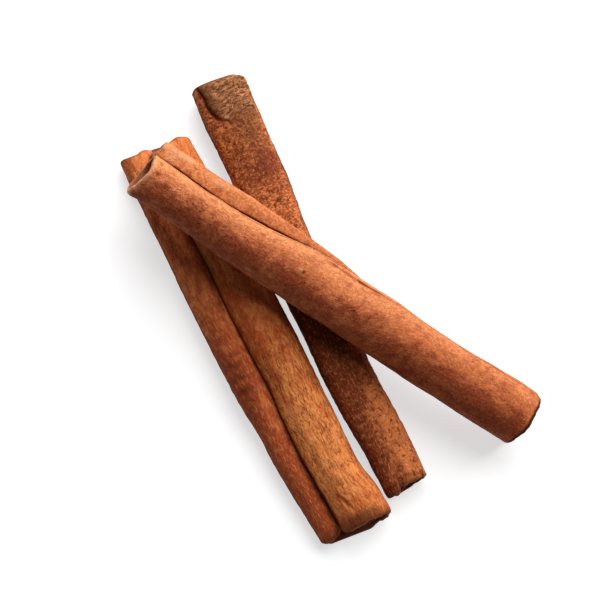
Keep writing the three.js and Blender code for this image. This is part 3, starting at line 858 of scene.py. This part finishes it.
def crossing_chips(turn, roll):
    """How far the bark sticks out past its left and right ends, in mm. The left end is cut aslant and
    gapes, so its underside sticks out; the right end's upper corner is rounded off; the inner turns stand
    back inside."""
    large = (roll == 0).astype(float)
    back = 0.4 * set_back(turn) * large
    rim = value_along((0.5, 0.55, 0.4, 0.3, 0.12, 0.6, 0.8, 0.6, 0.3), turn)
    left = large * rim + (1 - large) * value_along((0.5, 0.6, 0.6, 0.6, 0.6), turn) - back
    left = left + 0.1 * soft_noise(turn * 10, 0, 61) + 0.06 * soft_noise(turn * 45, 0, 63)
    right = 0.1 * soft_noise(turn * 10 + 3, 0, 62) + 0.05 * soft_noise(turn * 45, 0, 64) - back
    corner = value_along((0, 0.4, 1.0, 0.6, 0.05, -0.45, -0.45, -0.45, -0.45, -0.45, -0.45), turn)
    return left, right + large * corner


crossing_columns = strip_columns(crossing, shown=(165, 50), hidden=18, floor_count=10)
bark_crossing = make_quill("bark_crossing", crossing, crossing_columns, 0.27, crossing_relief,
                           crossing_chips)

crossing_tint = {
    "left": (0.59, 0.192, 0.070, 1),
    "right": (0.46, 0.120, 0.036, 1),
    "left lobe": (0.65, 0.220, 0.075, 1),
    "right lobe": (0.30, 0.08, 0.02, 1),
    "ridge_highlight": (0.74, 0.325, 0.130, 1),
    "shaded": (0.240, 0.044, 0.0145, 1),
    "glint": (0.66, 0.26, 0.12, 1),
    "grain": (0.24, 0.05, 0.015, 1),
    "net": (0.20, 0.036, 0.011, 1),
    "fleck": (0.09, 0.016, 0.006, 1),
    "inside": (0.22, 0.040, 0.014, 1),
    "cut": (0.66, 0.32, 0.17, 1),
}
material, tree, pattern = start_bark(
    "bark_crossing",
    {"Seed": 23.0, "Fibre Width": 0.4, "Fibre Length": 0.6, "Fleck Width": 0.4, "Fleck Length": 0.5,
     "Fleck Level": 0.58, "Patch Width": 1.5, "Patch Length": 1.9, "Net Width": 0.6, "Net Length": 0.7})
shade = weighted(tree, (painted(tree, "shade"), 0.95), (pattern["Patches"], 0.55), (pattern["Grain"], 0.3),
                 (1.0, -0.42))
tan = blend(tree, painted(tree, "right"), crossing_tint["left"], crossing_tint["right"])
lobe_tan = blend(tree, painted(tree, "right"), crossing_tint["left lobe"], crossing_tint["right lobe"])
tan = blend(tree, painted(tree, "lobe"), tan, lobe_tan)
# The painted highlight along the large roll's top.
tan = tinted(tree, tan, painted(tree, "ridge_highlight"), 0.6, crossing_tint["ridge_highlight"])
colour = blend(tree, shade, tan, crossing_tint["shaded"])
colour = tinted(tree, colour, mask(tree, pattern["Fibres"], 0.6, 0.95), 0.25, crossing_tint["glint"])
colour = tinted(tree, colour, maths(tree, "SUBTRACT", 1.0, pattern["Grain"]), 0.42, crossing_tint["grain"])
colour = tinted(tree, colour, pattern["Net"], 0.38, crossing_tint["net"])
fleck_share = weighted(tree, (shade, 0.35), (painted(tree, "specked"), 0.5), (1.0, 0.2))
flecks = maths(tree, "MULTIPLY", pattern["Flecks"], fleck_share)
colour = blend(tree, flecks, colour, crossing_tint["fleck"])
height = weighted(tree, (pattern["Grain"], 0.5), (pattern["Fibres"], 0.3), (pattern["Flecks"], -0.25),
                  (1.0, 0.2))
finish_bark(tree, pattern, colour, inside=crossing_tint["inside"], cut=crossing_tint["cut"], rim=0.05,
            under=0.2, height=height, roughness=0.75)
bark_crossing.data.materials.append(material)
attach(bark_crossing, "root")
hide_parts("quill_crossing")

# ---------------------------------------------------------------------------------------------
# The table: a plain white sheet, 3 m square and flat, that the bundle lies on. It glows a little,
# as a white sheet lit from all round does.
# ---------------------------------------------------------------------------------------------

half = 1.5
table_corners = [(-half, -half, 0), (half, -half, 0), (half, half, 0), (-half, half, 0)]
table_mesh = bpy.data.meshes.new("table")
table_mesh.from_pydata(table_corners, [], [(0, 1, 2, 3)])
table = bpy.data.objects.new("table", table_mesh)
bpy.context.scene.collection.objects.link(table)
white = bpy.data.materials.new("white_table")
white.use_nodes = True
white_finish = {"Base Color": (0.52, 0.52, 0.52, 1), "Roughness": 0.9, "Specular IOR Level": 0.0,
                "Emission Color": (1, 1, 1, 1), "Emission Strength": 0.62}
for socket, value in white_finish.items():
    white.node_tree.nodes["Principled BSDF"].inputs[socket].default_value = value
table.data.materials.append(white)

# ---------------------------------------------------------------------------------------------
# Light: one broad soft source from the far right, rather low, and an even white surround.
# ---------------------------------------------------------------------------------------------


def aim(thing, at):
    """Points a light or camera at a place, with the world's up direction upwards."""
    thing.rotation_euler = (Vector(at) - thing.location).to_track_quat("-Z", "Y").to_euler()


key = bpy.data.objects.new("key_light", bpy.data.lights.new("key_light", "AREA"))
bpy.context.scene.collection.objects.link(key)
key_azimuth, key_elevation, key_distance = math.radians(62), math.radians(36), 0.7
key.location = (key_distance * math.cos(key_elevation) * math.cos(key_azimuth),
                key_distance * math.cos(key_elevation) * math.sin(key_azimuth),
                key_distance * math.sin(key_elevation))
key.data.shape = "DISK"
key.data.size = 1.2
key.data.energy = 16.5
aim(key, (0, 0, 0))

world = bpy.data.worlds.new("surround")
bpy.context.scene.world = world
world.use_nodes = True
world.node_tree.nodes["Background"].inputs["Color"].default_value = (1, 1, 1, 1)
world.node_tree.nodes["Background"].inputs["Strength"].default_value = 0.1

# ---------------------------------------------------------------------------------------------
# Camera: a long lens above the near side, 76 degrees up, looking a little left of the middle.
# ---------------------------------------------------------------------------------------------

camera = bpy.data.objects.new("camera", bpy.data.cameras.new("camera"))
bpy.context.scene.collection.objects.link(camera)
target = (-5.43 * MM, -0.13 * MM, 8 * MM)
camera_elevation, camera_distance = math.radians(76), 0.9
camera.location = (target[0], target[1] - camera_distance * math.cos(camera_elevation),
                   target[2] + camera_distance * math.sin(camera_elevation))
aim(camera, target)
camera.data.sensor_fit = "VERTICAL"
camera.data.sensor_height = 36
camera.data.lens = 300
camera.data.clip_start = 0.01
bpy.context.scene.camera = camera
bpy.context.scene.view_settings.view_transform = "Standard"
bpy.context.scene.view_settings.look = "None"
